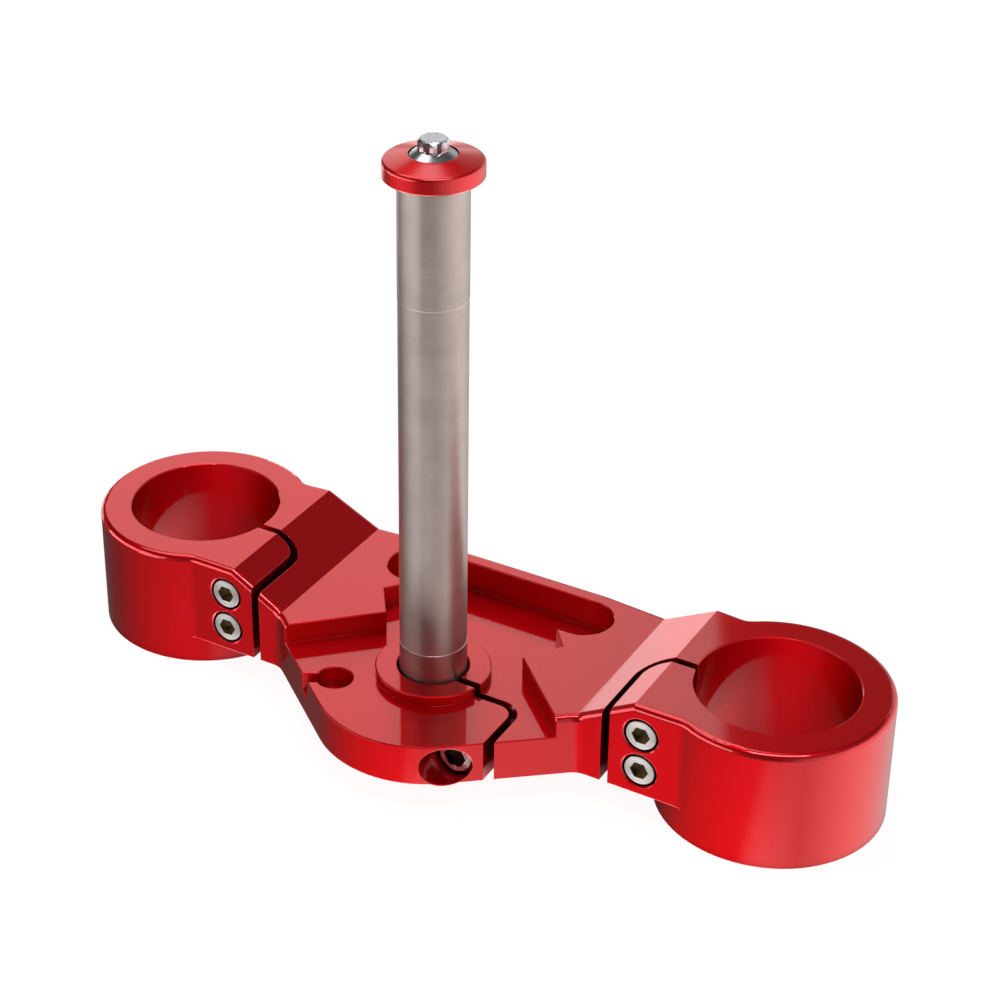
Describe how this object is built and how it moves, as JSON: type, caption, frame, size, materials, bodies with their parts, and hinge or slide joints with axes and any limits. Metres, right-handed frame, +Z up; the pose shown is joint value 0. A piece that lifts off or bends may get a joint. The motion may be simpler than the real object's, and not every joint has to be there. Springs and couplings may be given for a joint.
{
  "type": "motorcycle triple clamp",
  "caption": "Lower motorcycle triple clamp milled from one block, with two slit fork rings, a steering stem standing in a collar, a crowned stem cap and pinch screws.",
  "frame": {"origin": "on the steering axis, in the plane of the two ring bottoms", "axes": "+X from the left fork bore to the right one, +Y to the motorcycle's rear side of the plate, +Z up along the steering stem"},
  "size_m": [0.335, 0.121, 0.2452],
  "materials": {
    "red_anodised": "bright dipped and red anodised, glossy",
    "stem_steel": "fine turned and brushed round the axis",
    "bright_steel": "bright stainless, smooth",
    "screw_steel": "stainless with turned head faces"
  },
  "bodies": {
    "root": {"lower_clamp": "red_anodised", "steering_stem": "stem_steel", "stem_cap": "red_anodised", "cap_bolt": "bright_steel", "fork_pinch_bolt_left_upper": "screw_steel", "fork_pinch_bolt_left_lower": "screw_steel", "fork_pinch_bolt_right_upper": "screw_steel", "fork_pinch_bolt_right_lower": "screw_steel", "stem_pinch_bolt": "screw_steel"}
  },
  "joints": []
}
